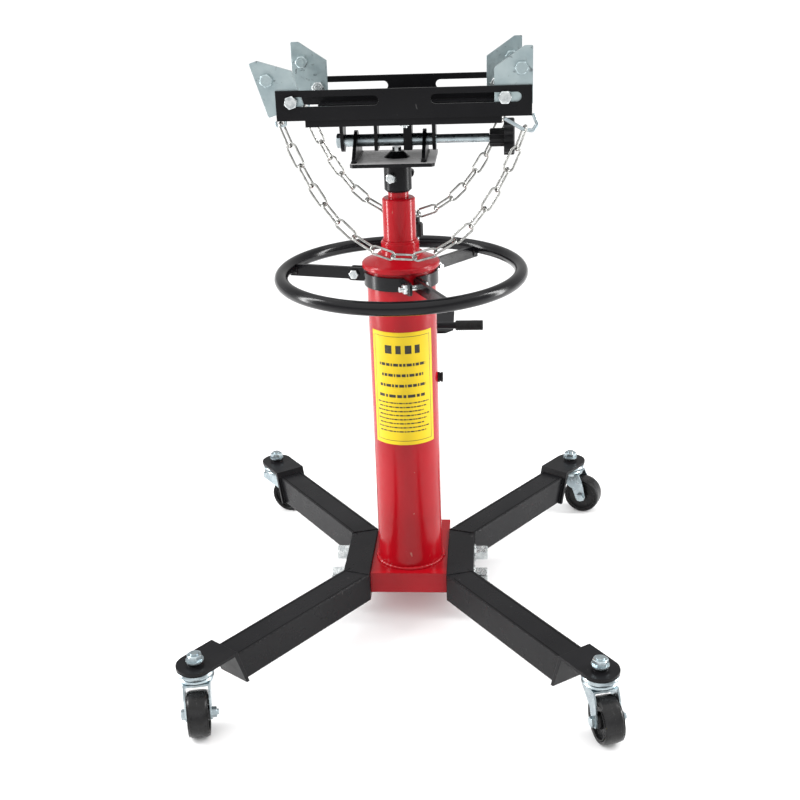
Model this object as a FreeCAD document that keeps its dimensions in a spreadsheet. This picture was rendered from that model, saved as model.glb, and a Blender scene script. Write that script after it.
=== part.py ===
"""Telescopic transmission jack, 0.6 tonne class, as an assembly of separate named pieces.

Frame: millimetres, +Z up, the column axis at X = Y = 0 and the floor at Z = 0. The front of the jack faces -Y and the
foot pump is behind the column, at +Y.
"""

import FreeCAD
import Part
import math
import os
import re

import Sketcher
from FreeCAD import Placement, Rotation, Vector

UP = Vector(0, 0, 1)
ALONG_X = Vector(1, 0, 0)
ALONG_Y = Vector(0, 1, 0)

# ---------------------------------------------------------------------------------------------------------------
# Driving dimensions, in millimetres and degrees
# ---------------------------------------------------------------------------------------------------------------

SIZES = {
    # base block and pump
    "block_half_width": 60, "block_front": -65, "block_rear": 120, "block_bottom": 49, "block_top": 83,
    "pump_left": -44, "pump_right": 44, "pump_front": 52, "pump_rear": 118, "pump_top": 114,
    "barrel_y": 92, "barrel_radius": 16, "barrel_top": 166, "plunger_radius": 7,
    # legs: box section, mitred where each arm leaves the centre piece
    "leg_width": 42, "leg_bottom": 42, "leg_top": 87, "leg_wall": 3, "leg_corner_y": 69.8,
    "arm_angle": 36, "arm_reach": 331.6, "arm_end_top": 54, "arm_end_slope": 17,
    "leg_bolt_radius": 8, "leg_bolt_z": 65, "leg_bolt_y": 36,
    # caster pads and casters
    "pad_radius": 27, "pad_bottom": 91, "pad_top": 96, "flange_bottom": 40, "kingpin_radius": 6,
    "wheel_radius": 32.5, "wheel_half_width": 14, "caster_trail": 26, "fork_top": 75, "axle_radius": 4,
    # column
    "column_radius": 51, "column_wall": 4, "column_top": 564,
    "cap_radius": 57.3, "collar_radius": 28, "collar_top": 602,
    "cylinder_radius": 31, "cylinder_bore": 27,
    "stage_radius": 24, "stage_bore": 18, "stage_bottom": 96, "stage_top": 666,
    "ram_radius": 14.9, "ram_bottom": 114, "ram_top": 712, "running_gap": 0.05,
    "plug_z": 388, "label_bottom": 297, "label_top": 476,
    # handle ring
    "band_bottom": 539, "band_top": 559, "band_thickness": 4, "ear_reach": 82, "ear_thickness": 4,
    "spoke_thickness": 6, "ring_radius": 177, "ring_tube_radius": 10, "ring_z": 553.8, "ring_tilt": 0.7,
    # foot pump linkage
    "hinge_y": 64.5, "hinge_z": 211, "pedal_y": 347, "pedal_z": 362, "side_bar_y": 290, "side_bar_z": 376,
    "roller_radius": 8, "roller_drop": 2, "release_radius": 61.4, "release_azimuth": 70,
    "release_knob_z": 594, "guide_z": 496,
    # head
    "socket_radius": 19.8, "socket_bottom": 675, "cradle_left": -62, "cradle_right": 56, "cradle_half_depth": 58,
    "cradle_bottom": 719, "cradle_top": 724, "pivot_z": 748, "pivot_radius": 8.7,
    "inner_ear_left": -59.5, "inner_ear_right": 38, "outer_ear_left": -78.5, "outer_ear_right": 51.5,
    "head_ear_thickness": 5, "swivel_knob_z": 697,
    # saddle
    "saddle_left": -117, "saddle_right": 148.5, "saddle_half_depth": 78, "saddle_bottom": 779.5,
    "saddle_top": 789, "saddle_thickness": 5,
    "rail_left": -155, "rail_right": 189, "rail_outer_y": 82, "rail_top": 829, "rail_thickness": 3.5,
    "rail_flange": 30, "slot_half_height": 6.5, "slot_z": 814,
    "bracket_thickness": 5, "bracket_bolt_radius": 4.9,
    # chains
    "wire": 3.4, "link_width": 16.5, "staple_radius": 1.9, "staple_half_width": 6.5, "staple_z": 782.8, "hook_z": 770.5,
}


def write_sheet(document):
    """Put every driving dimension in the spreadsheet, one row each, under its own alias."""
    sheet = document.addObject("Spreadsheet::Sheet", "Sizes")
    for row, (alias, value) in enumerate(SIZES.items(), start=1):
        sheet.set(f"A{row}", alias.replace("_", " "))
        sheet.set(f"B{row}", str(value))
        sheet.setAlias(f"B{row}", alias)
    document.recompute()
    return sheet


doc = FreeCAD.newDocument("TransmissionJack")
sizes = write_sheet(doc)
nodes = []


def size(alias):
    """The value that a spreadsheet cell holds."""
    return float(sizes.get(alias))


def formula(text):
    """A FreeCAD expression from one that names the sheet's aliases alone."""
    text = str(text)
    return re.sub(r"[a-z][a-z_]*", lambda word: f"Sizes.{word.group()}" if word.group() in SIZES else word.group(), text)


# ---------------------------------------------------------------------------------------------------------------
# Helpers for parametric bodies
# ---------------------------------------------------------------------------------------------------------------


def origin_plane(body, role):
    """One of a body's own origin planes."""
    return next(feature for feature in body.Origin.OriginFeatures if feature.Role == role)


def new_body(label):
    """A PartDesign body that becomes a node."""
    body = doc.addObject("PartDesign::Body", label)
    body.Label = label
    nodes.append(body)
    return body


def pin_point(sketch, geometry, vertex, across, upward):
    """Hold one point of a sketch at two distances from its origin, each bound to a formula."""
    for kind, text in (("DistanceX", across), ("DistanceY", upward)):
        index = sketch.addConstraint(Sketcher.Constraint(kind, -1, 1, geometry, vertex, 1.0))
        sketch.setExpression(f"Constraints[{index}]", formula(text))


def draw_polygon(sketch, corners):
    """A closed outline whose corners are pairs of formulas."""
    count = len(corners)
    spread = [Vector(10 * math.cos(math.tau * k / count), 10 * math.sin(math.tau * k / count), 0) for k in range(count)]
    edges = [sketch.addGeometry(Part.LineSegment(spread[k], spread[(k + 1) % count])) for k in range(count)]
    for k, edge in enumerate(edges):
        sketch.addConstraint(Sketcher.Constraint("Coincident", edge, 2, edges[(k + 1) % count], 1))
    for edge, (across, upward) in zip(edges, corners):
        pin_point(sketch, edge, 1, across, upward)


def draw_circle(sketch, across, upward, radius):
    """A circle whose centre and radius are formulas."""
    circle = sketch.addGeometry(Part.Circle(Vector(1, 1, 0), UP, 5))
    pin_point(sketch, circle, 3, across, upward)
    index = sketch.addConstraint(Sketcher.Constraint("Radius", circle, 5.0))
    sketch.setExpression(f"Constraints[{index}]", formula(radius))


def new_sketch(body, plane, offset="0"):
    """A sketch on one of the body's own origin planes, moved along the plane's normal by a formula."""
    sketch = body.newObject("Sketcher::SketchObject", body.Label + "_sketch")
    sketch.AttachmentSupport = [(origin_plane(body, plane), "")]
    sketch.MapMode = "FlatFace"
    sketch.setExpression("AttachmentOffset.Base.z", formula(offset))
    return sketch


def pad(body, plane, corners, length, offset="0", middle=False):
    """Pad a polygon along the plane's normal."""
    sketch = new_sketch(body, plane, offset)
    draw_polygon(sketch, corners)
    feature = body.newObject("PartDesign::Pad", body.Label + "_pad")
    feature.Profile = sketch
    feature.Midplane = middle
    feature.setExpression("Length", formula(length))
    doc.recompute()
    return feature


def pad_circle(body, plane, across, upward, radius, length, offset="0"):
    """Pad a disc along the plane's normal."""
    sketch = new_sketch(body, plane, offset)
    draw_circle(sketch, across, upward, radius)
    feature = body.newObject("PartDesign::Pad", body.Label + "_disc")
    feature.Profile = sketch
    feature.setExpression("Length", formula(length))
    doc.recompute()
    return feature


def cut_holes(body, plane, circles, length, offset="0", middle=True):
    """Pocket a group of round holes, from the offset back against the plane's normal; the volume has to fall."""
    before = body.Shape.Volume
    sketch = new_sketch(body, plane, offset)
    for across, upward, radius in circles:
        draw_circle(sketch, across, upward, radius)
    feature = body.newObject("PartDesign::Pocket", body.Label + "_holes")
    feature.Profile = sketch
    feature.Midplane = middle
    feature.setExpression("Length", formula(length))
    doc.recompute()
    if body.Shape.Volume >= before:
        raise RuntimeError(f"{body.Label}: the holes cut nothing")
    return feature


def revolve(label, corners):
    """A body turned about the column axis from a half section of (radius, height) formulas."""
    body = new_body(label)
    sketch = new_sketch(body, "XZ_Plane")
    draw_polygon(sketch, corners)
    feature = body.newObject("PartDesign::Revolution", label + "_turn")
    feature.Profile = sketch
    feature.ReferenceAxis = (sketch, ["V_Axis"])
    feature.Angle = 360
    doc.recompute()
    return body


def place(body, base, axis=UP, angle=0):
    """Give a node its placement."""
    body.Placement = Placement(Vector(*base), Rotation(Vector(*axis), angle))
    return body


# ---------------------------------------------------------------------------------------------------------------
# Helpers for shapes that are groups of solids or follow curves
# ---------------------------------------------------------------------------------------------------------------


def add_node(label, shapes):
    """A node from one shape, or from a list of separate solids."""
    feature = doc.addObject("Part::Feature", label)
    feature.Label = label
    feature.Shape = Part.makeCompound(shapes if isinstance(shapes, list) else [shapes])
    feature.Placement = Placement()
    nodes.append(feature)
    return feature


def box(low, high):
    """A box between two corners."""
    span = [top - bottom for bottom, top in zip(low, high)]
    return Part.makeBox(*span, Vector(*low))


def rod(radius, start, end):
    """A round bar between two points."""
    start, end = Vector(*start), Vector(*end)
    return Part.makeCylinder(radius, (end - start).Length, start, end - start)


def tube(outer, inner, start, end):
    """A round tube between two points."""
    return rod(outer, start, end).cut(rod(inner, start, end))


def hexagon(across_flats, start, end):
    """A hexagonal prism between two points, with its crown corners turned off."""
    start, end = Vector(*start), Vector(*end)
    radius = across_flats / math.sqrt(3)
    corners = [Vector(radius * math.cos(k * math.pi / 3), radius * math.sin(k * math.pi / 3), 0) for k in range(7)]
    height = (end - start).Length
    prism = Part.Face(Part.makePolygon(corners)).extrude(UP * height)
    crown = 0.5 * radius
    turned = Part.makeCylinder(radius, height - 0.12 * radius).fuse(
        Part.makeCone(radius, radius - crown, crown / 1.8, Vector(0, 0, height - 0.12 * radius)))
    prism = prism.common(turned)
    prism.Placement = Placement(start, Rotation(UP, end - start))
    return prism


def prism(corners, direction):
    """A solid swept straight from a closed polygon of points."""
    points = [Vector(*corner) for corner in corners]
    return Part.Face(Part.makePolygon(points + points[:1])).extrude(Vector(*direction))


def bent_rod(radius, points, bend):
    """A round bar along straight runs joined by arcs of one bend radius."""
    points = [Vector(*point) for point in points]
    edges = []
    start = points[0]
    for before, corner, after in zip(points, points[1:], points[2:]):
        inward = (before - corner).normalize()
        outward = (after - corner).normalize()
        half_turn = (math.pi - inward.getAngle(outward)) / 2
        setback = bend * math.tan(half_turn)
        middle = (inward + outward).normalize() * (bend / math.cos(half_turn) - bend) + corner
        first, last = corner + inward * setback, corner + outward * setback
        edges.append(Part.LineSegment(start, first).toShape())
        edges.append(Part.Arc(first, middle, last).toShape())
        start = last
    edges.append(Part.LineSegment(start, points[-1]).toShape())
    section = Part.Wire(Part.makeCircle(radius, points[0], points[1] - points[0]))
    return Part.Wire(edges).makePipeShell([section], True, True)


def mirrored_x(shape):
    """The shape's mirror image in the YZ plane."""
    return shape.mirror(Vector(0, 0, 0), ALONG_X)


def mirrored_y(shape):
    """The shape's mirror image in the XZ plane."""
    return shape.mirror(Vector(0, 0, 0), ALONG_Y)


def turned(shape, azimuth, base=(0, 0, 0)):
    """A copy turned about the vertical through the origin and then moved."""
    copy = shape.copy()
    copy.Placement = Placement(Vector(*base), Rotation(UP, azimuth)).multiply(copy.Placement)
    return copy


# ---------------------------------------------------------------------------------------------------------------
# Base block, pump and column
# ---------------------------------------------------------------------------------------------------------------


def build_base_block():
    """Steel block that the column stands on and the legs bolt to."""
    body = new_body("base_block")
    corners = [("-block_half_width", "block_front"), ("block_half_width", "block_front"),
               ("block_half_width", "block_rear"), ("-block_half_width", "block_rear")]
    pad(body, "XY_Plane", corners, "block_top - block_bottom", "block_bottom")
    bolts = [(y, "leg_bolt_z", "leg_bolt_radius") for y in ("leg_bolt_y", "-leg_bolt_y")]
    cut_holes(body, "YZ_Plane", bolts, "30", "block_half_width", middle=False)
    cut_holes(body, "YZ_Plane", bolts, "30", "30 - block_half_width", middle=False)


def build_pump():
    """Pump body behind the column, its barrel with a hexagonal gland, and the sprung plunger."""
    body = new_body("pump_body")
    corners = [("pump_left", "pump_front"), ("pump_right", "pump_front"),
               ("pump_right", "pump_rear"), ("pump_left", "pump_rear")]
    pad(body, "XY_Plane", corners, "pump_top - block_top", "block_top")
    y, top = size("barrel_y"), size("barrel_top")
    bore = size("plunger_radius") + size("running_gap")
    wall = rod(size("barrel_radius"), (0, y, size("pump_top")), (0, y, top - 14))
    gland = hexagon(36, (0, y, top - 14), (0, y, top))
    add_node("pump_barrel", wall.fuse(gland).cut(rod(bore, (0, y, size("pump_top") - 1), (0, y, top + 1))))
    head_top = size("hinge_z") - size("roller_drop") - size("roller_radius") - 1
    stem = rod(size("plunger_radius"), (0, y, size("pump_top") + 21), (0, y, head_top))
    add_node("plunger", stem.fuse(rod(14, (0, y, head_top - 5), (0, y, head_top))))
    low, high = top + 2, head_top - 7
    coil = Part.makeHelix((high - low) / 4.5, high - low, 10.5)
    coil.Placement = Placement(Vector(0, y, low), Rotation())
    section = Part.Wire(Part.makeCircle(1.3, Vector(10.5, y, low), ALONG_Y))
    add_node("plunger_spring", Part.Wire(coil).makePipeShell([section], True, True))


def build_column_brackets():
    """Fork bracket for the pedal and guide lug for the release rod, both on the column, and the pedal's pivot pin."""
    y, z = size("hinge_y"), size("hinge_z")
    face = size("column_radius") + 0.2
    fork = box((-15, face, z - 17), (15, face + 3.2, z + 17))
    for x in (-9.5, 4.5):
        fork = fork.fuse(box((x, face, z - 17), (x + 5, y + 12, z + 17)))
    fork = fork.removeSplitter()
    nose = [edge for edge in fork.Edges if edge.BoundBox.YMin > y + 11.9 and edge.BoundBox.XLength > 4.9]
    fork = fork.makeFillet(8, nose).cut(rod(5, (-30, y, z), (30, y, z)))
    radius = size("release_radius")
    guide = size("guide_z")
    hole = rod(3.5 + size("running_gap"), (radius, 0, guide - 10), (radius, 0, guide + 10))
    lug = box((face, -9, guide), (radius + 9, 9, guide + 4)).cut(hole)
    add_node("column_brackets", [fork, turned(lug, size("release_azimuth"))])
    pin = rod(5 - size("running_gap"), (-22, y, z), (14.2, y, z))
    nut = hexagon(15, (-14.2, y, z), (-20.5, y, z))
    head = rod(7.5, (14.2, y, z), (16.8, y, z))
    add_node("pedal_pin", pin.fuse(head).fuse(nut))


def build_column():
    """Reservoir tube, pressure cylinder, cap, wiper, filler plug and label."""
    inner = "column_radius - column_wall"
    column = revolve("reservoir_tube", [(inner, "block_top"), ("column_radius", "block_top"),
                                        ("column_radius", "column_top"), (inner, "column_top")])
    cut_holes(column, "YZ_Plane", [("0", "plug_z", "6")], "20", "column_radius + 8", middle=False)
    revolve("pressure_cylinder", [("cylinder_bore", "block_top"), ("cylinder_radius", "block_top"),
                                  ("cylinder_radius", "column_top + 10"), ("cylinder_bore", "column_top + 10")])
    revolve("column_cap", [
        ("stage_radius + running_gap", "collar_top"), ("collar_radius - 1.2", "collar_top"),
        ("collar_radius", "collar_top - 1.2"), ("collar_radius", "collar_top - 13"),
        ("collar_radius + 2", "collar_top - 18"), ("collar_radius + 9", "collar_top - 23"),
        ("cap_radius - 5", "column_top + 10"), ("cap_radius - 1.5", "column_top + 8.5"),
        ("cap_radius", "column_top + 6.5"), ("cap_radius", "column_top + 1.5"),
        ("cap_radius - 1.5", "column_top"), ("column_radius - column_wall - 0.2", "column_top"),
        ("column_radius - column_wall - 0.2", "column_top - 9"), ("cylinder_radius + 0.1", "column_top - 9"),
        ("cylinder_radius + 0.1", "column_top + 10"), ("stage_radius + running_gap", "column_top + 10")])
    revolve("column_wiper", [
        ("stage_radius + running_gap", "collar_top"), ("stage_radius + 2.6", "collar_top"),
        ("stage_radius + 2", "collar_top + 2"), ("stage_radius + running_gap", "collar_top + 2.6")])
    plug = revolve("filler_plug", [("0", "-9"), ("5.9", "-9"), ("5.9", "0.2"), ("8", "0.2"), ("8", "2.4"),
                                   ("6.4", "3"), ("6.4", "3.8"), ("7.6", "4.4"), ("7.6", "7"), ("6.8", "7.6"),
                                   ("0", "7.6")])
    place(plug, (size("column_radius"), 0, size("plug_z")), (0, 1, 0), 90)
    label = doc.addObject("PartDesign::Body", "label")
    label.Label = "label"
    nodes.append(label)
    sketch = new_sketch(label, "XZ_Plane")
    draw_polygon(sketch, [("column_radius + 0.05", "label_bottom"), ("column_radius + 0.45", "label_bottom"),
                          ("column_radius + 0.45", "label_top"), ("column_radius + 0.05", "label_top")])
    turn = label.newObject("PartDesign::Revolution", "label_turn")
    turn.Profile = sketch
    turn.ReferenceAxis = (sketch, ["V_Axis"])
    turn.Angle = 114.2
    doc.recompute()
    place(label, (0, 0, 0), (0, 0, 1), -146.6)


def build_lift():
    """The two telescopic stages: the stage tube with its piston and gland, and the ram."""
    revolve("stage_tube", [
        ("0", "stage_bottom"), ("cylinder_bore - running_gap", "stage_bottom"),
        ("cylinder_bore - running_gap", "stage_bottom + 12"), ("stage_radius", "stage_bottom + 12"),
        ("stage_radius", "stage_top - 2"), ("stage_radius - 2", "stage_top"),
        ("ram_radius + running_gap", "stage_top"), ("ram_radius + running_gap", "stage_top - 15"),
        ("stage_bore", "stage_top - 15"), ("stage_bore", "stage_bottom + 12"), ("0", "stage_bottom + 12")])
    revolve("ram", [("0", "ram_bottom"), ("stage_bore - running_gap", "ram_bottom"),
                    ("stage_bore - running_gap", "ram_bottom + 12"), ("ram_radius", "ram_bottom + 12"),
                    ("ram_radius", "ram_top - 2"), ("ram_radius - 2", "ram_top"), ("0", "ram_top")])


# ---------------------------------------------------------------------------------------------------------------
# Handle ring
# ---------------------------------------------------------------------------------------------------------------

SPOKE_AZIMUTHS = (166, 52, -64.5)
OPEN_JOINT = -64.5


def build_handle():
    """Three-piece clamp band with spokes between its ears, the ring they carry, and the clamp bolts."""
    low, high = size("band_bottom"), size("band_top")
    inner = size("column_radius") + 0.2
    band = tube(inner + size("band_thickness"), inner, (0, 0, low), (0, 0, high))
    half_spoke, ear = size("spoke_thickness") / 2, size("ear_thickness")
    reach = size("ear_reach")
    ring_tube = size("ring_tube_radius")
    ring = doc.addObject("Part::Torus", "handle_ring")
    ring.Label = "handle_ring"
    ring.setExpression("Radius1", formula("ring_radius"))
    ring.setExpression("Radius2", formula("ring_tube_radius"))
    ring_place = Placement(Vector(0, 0, size("ring_z")), Rotation(ALONG_X, size("ring_tilt")))
    ring.Placement = ring_place
    nodes.append(ring)
    doc.recompute()
    spokes, bolts, ears = [], [], []
    for azimuth in SPOKE_AZIMUTHS:
        far_side = half_spoke + (12 if azimuth == OPEN_JOINT else 0)
        band = band.cut(turned(box((30, -far_side, low - 1), (60, half_spoke, high + 1)), azimuth))
        for start in (half_spoke, -far_side - ear):
            plate = box((inner + 1, start, low), (reach, start + ear, high))
            outer_edges = [edge for edge in plate.Edges
                           if edge.BoundBox.XMin > reach - 0.1 and edge.BoundBox.YLength > ear - 0.1]
            ears.append(turned(plate.makeFillet(6, outer_edges), azimuth))
        spokes.append(turned(box((inner + 5, -half_spoke, low + 1), (size("ring_radius"), half_spoke, high - 1)),
                             azimuth))
        bolt_r, middle = 71, (low + high) / 2
        shank = rod(4, (bolt_r, -far_side - ear - 12, middle), (bolt_r, half_spoke + ear, middle))
        head = hexagon(13, (bolt_r, half_spoke + ear, middle), (bolt_r, half_spoke + ear + 5.5, middle))
        nut = hexagon(13, (bolt_r, -far_side - ear, middle), (bolt_r, -far_side - ear - 6.5, middle))
        bolts.append(turned(shank.fuse(head).fuse(nut), azimuth))
    holes = []
    for azimuth in SPOKE_AZIMUTHS:
        holes.append(turned(rod(4.1, (71, -60, (low + high) / 2), (71, 60, (low + high) / 2)), azimuth))
    tool = Part.makeCompound(holes)
    band = band.fuse(ears).removeSplitter().cut(tool)
    hollow = Part.makeTorus(size("ring_radius"), ring_tube + 0.01)
    hollow.Placement = ring_place
    inside = Part.makeCylinder(size("ring_radius"), 60, Vector(0, 0, low - 20))
    spokes = [spoke.cut(tool).cut(hollow).common(inside) for spoke in spokes]
    spokes = [max(spoke.Solids, key=lambda solid: solid.Volume) for spoke in spokes]
    add_node("clamp_band", band.Solids)
    add_node("handle_spokes", spokes)
    add_node("handle_bolts", bolts)


# ---------------------------------------------------------------------------------------------------------------
# Legs and casters
# ---------------------------------------------------------------------------------------------------------------


def caster_places():
    """Name, kingpin position, arm azimuth and trailing direction of each caster."""
    angle = math.radians(size("arm_angle"))
    x = size("block_half_width") + size("leg_width") / 2 + size("arm_reach") * math.sin(angle)
    y = size("leg_corner_y") + size("arm_reach") * math.cos(angle)
    outward = 90 - size("arm_angle")
    return [("front_left", (-x, -y), 180 + outward, -79), ("front_right", (x, -y), -outward, -72),
            ("rear_left", (-x, y), 180 - outward, -18), ("rear_right", (x, y), outward, -22)]


def leg_outline(inset):
    """Plan outline of the right leg, set in from its outer faces."""
    angle = math.radians(size("arm_angle"))
    half = size("leg_width") / 2 - inset
    middle = size("block_half_width") + size("leg_width") / 2
    corner = size("leg_corner_y")
    step = half * math.tan(angle / 2)
    forward = Vector(math.sin(angle), math.cos(angle), 0)
    across = Vector(-math.cos(angle), math.sin(angle), 0)
    end = Vector(middle, corner, 0) + forward * (size("arm_reach") - size("arm_end_top") + 10)
    rear = [Vector(middle - half, corner + step, 0), end + across * half,
            end - across * half, Vector(middle + half, corner - step, 0)]
    front = [Vector(point.x, -point.y, 0) for point in reversed(rear)]
    return rear + front


def end_face_tool(azimuth, position):
    """Solid beyond an arm's slanting end, in the place of one caster."""
    near, slope = size("arm_end_top"), size("arm_end_slope")
    low, high = size("flange_bottom"), size("pad_top")
    run = slope / (high - low)
    corners = [(-near - slope - run * 20, -60, low - 20), (60, -60, low - 20),
               (60, -60, high + 20), (-near + run * 20, -60, high + 20)]
    return turned(prism(corners, (0, 120, 0)), azimuth, (*position, 0))


def build_legs():
    """Two mitred box-section legs, closed at the ends by the caster pads, and the bolts that hold them."""
    bottom, top, wall = size("leg_bottom"), size("leg_top"), size("leg_wall")
    outer = prism([(p.x, p.y, bottom) for p in leg_outline(0)], (0, 0, top - bottom))
    hollow = prism([(p.x, p.y, bottom + wall) for p in leg_outline(wall)], (0, 0, top - bottom - 2 * wall))
    leg = outer.cut(hollow)
    for name, position, azimuth, trail in caster_places():
        if position[0] > 0:
            leg = leg.cut(end_face_tool(azimuth, position))
    x_in = size("block_half_width")
    x_out = x_in + size("leg_width")
    bolt_z, bolt_y, bolt_r = size("leg_bolt_z"), size("leg_bolt_y"), size("leg_bolt_radius")
    bolts = []
    for y in (bolt_y, -bolt_y):
        leg = leg.cut(rod(bolt_r, (x_in - 5, y, bolt_z), (x_out + 5, y, bolt_z)))
        shank = rod(bolt_r - 0.1, (x_in - 28, y, bolt_z), (x_out, y, bolt_z))
        washer = rod(14.5, (x_out, y, bolt_z), (x_out + 2.5, y, bolt_z))
        head = hexagon(22, (x_out + 2.5, y, bolt_z), (x_out + 22, y, bolt_z))
        bolts.append(shank.fuse(washer).fuse(head))
    add_node("leg_right", leg)
    add_node("leg_left", mirrored_x(leg))
    add_node("leg_bolts", bolts + [mirrored_x(bolt) for bolt in bolts])


def build_pads():
    """Bent plates on the arm ends, with the kingpin bolts and the fixed upper raceways of the casters."""
    radius, low, high = size("pad_radius"), size("pad_bottom"), size("pad_top")
    near, slope, foot = size("arm_end_top"), size("arm_end_slope"), size("flange_bottom")
    pin = size("kingpin_radius")
    thickness = high - low
    plate = box((-near, -radius, low), (0, radius, high)).fuse(rod(radius, (0, 0, low), (0, 0, high)))
    flange = prism([(-near, -radius, high), (-near + thickness, -radius, low),
                    (-near - slope + thickness, -radius, foot), (-near - slope, -radius, foot)], (0, 2 * radius, 0))
    boss = rod(11, (0, 0, high), (0, 0, high + 5))
    hole = rod(pin + 0.1, (0, 0, low - 1), (0, 0, high + 9))
    pad_shape = plate.fuse(flange).fuse(boss).removeSplitter().cut(hole)
    seat = high + 5
    shank = rod(pin, (0, 0, size("fork_top") - 8), (0, 0, seat + 12.5))
    bolt = shank.fuse(rod(12.5, (0, 0, seat), (0, 0, seat + 2.5))).fuse(
        hexagon(19, (0, 0, seat + 2.5), (0, 0, seat + 10.5))).fuse(
        hexagon(19, (0, 0, size("fork_top") - 3.3), (0, 0, size("fork_top") - 8)))
    section = [(pin + 0.1, 0, low - 9.8), (21, 0, low - 9.8), (25, 0, low - 8), (25.5, 0, low - 5.5),
               (24, 0, low - 3), (19, 0, low - 1.8), (15, 0, low), (pin + 0.1, 0, low)]
    race = Part.Face(Part.makePolygon([Vector(*p) for p in section + section[:1]])).revolve(
        Vector(0, 0, 0), UP, 360)
    pads, kingpins = [], []
    for name, position, azimuth, trail in caster_places():
        pads.append(turned(pad_shape, azimuth, (*position, 0)))
        kingpins.append(turned(bolt, azimuth, (*position, 0)))
        kingpins.append(turned(race, azimuth, (*position, 0)))
    add_node("caster_pads", pads)
    add_node("caster_kingpins", kingpins)


def fork_shapes():
    """Pressed fork with its lower raceway, and the axle bolt and nut, trailing towards +X."""
    top, trail, radius = size("fork_top"), size("caster_trail"), size("wheel_radius")
    pin = size("kingpin_radius")
    inner_face, outer_face = size("wheel_half_width") + 2, size("wheel_half_width") + 4.5
    side = prism([(-21, 0, top), (-21, 0, top - 9), (11, 0, radius + 14), (trail - 9.5, 0, radius),
                  (trail - 7, 0, radius - 7), (trail, 0, radius - 10), (trail + 7, 0, radius - 7),
                  (trail + 9.5, 0, radius), (trail + 4, 0, radius + 26), (22, 0, top)],
                 (0, outer_face - inner_face, 0))
    side.translate(Vector(0, inner_face, 0))
    crown = box((-21, -outer_face, top - 3), (22, outer_face, top)).fuse(rod(23, (0, 0, top - 3), (0, 0, top)))
    section = [(pin + 0.3, 0, top), (21.5, 0, top), (24.2, 0, top + 1.6), (24.6, 0, top + 3), (22.5, 0, top + 5),
               (pin + 0.3, 0, top + 5.6)]
    race = Part.Face(Part.makePolygon([Vector(*p) for p in section + section[:1]])).revolve(
        Vector(0, 0, 0), UP, 360)
    fork = crown.fuse(side).fuse(mirrored_y(side)).fuse(race).removeSplitter()
    fork = fork.cut(rod(pin + 0.3, (0, 0, top - 5), (0, 0, top + 8)))
    bore = rod(size("axle_radius") + 0.1, (trail, -40, radius), (trail, 40, radius))
    fork = fork.cut(bore)
    shank = rod(size("axle_radius"), (trail, -outer_face, radius), (trail, outer_face + 9, radius))
    head = hexagon(13, (trail, -outer_face, radius), (trail, -outer_face - 5.5, radius))
    nut = hexagon(13, (trail, outer_face, radius), (trail, outer_face + 6.5, radius))
    return fork, shank.fuse(head).fuse(nut)


def wheel_shape():
    """Moulded wheel with a crowned tread, a dished web and a hub, on its axle."""
    radius, half = size("wheel_radius"), size("wheel_half_width")
    bore = size("axle_radius") + size("running_gap")
    section = [(bore, half + 1.7), (10, half + 1.7), (11, half - 1), (12, half - 6), (27, half - 6), (28, half - 1),
               (31, half), (radius - 2, half - 0.6), (radius - 0.5, half - 3), (radius, half - 7)]
    section += [(r, -across) for r, across in reversed(section)]
    points = [Vector(r, across, 0) for r, across in section]
    wheel = Part.Face(Part.makePolygon(points + points[:1])).revolve(Vector(0, 0, 0), ALONG_Y, 360)
    wheel.translate(Vector(size("caster_trail"), 0, radius))
    return wheel


def build_casters():
    """A fork with its axle bolt, and a wheel, for each caster."""
    fork, axle = fork_shapes()
    wheel = wheel_shape()
    for name, position, azimuth, trail in caster_places():
        add_node(f"caster_fork_{name}", [turned(fork, trail, (*position, 0)), turned(axle, trail, (*position, 0))])
        add_node(f"caster_wheel_{name}", turned(wheel, trail, (*position, 0)))


# ---------------------------------------------------------------------------------------------------------------
# Foot pump linkage and release
# ---------------------------------------------------------------------------------------------------------------


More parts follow.
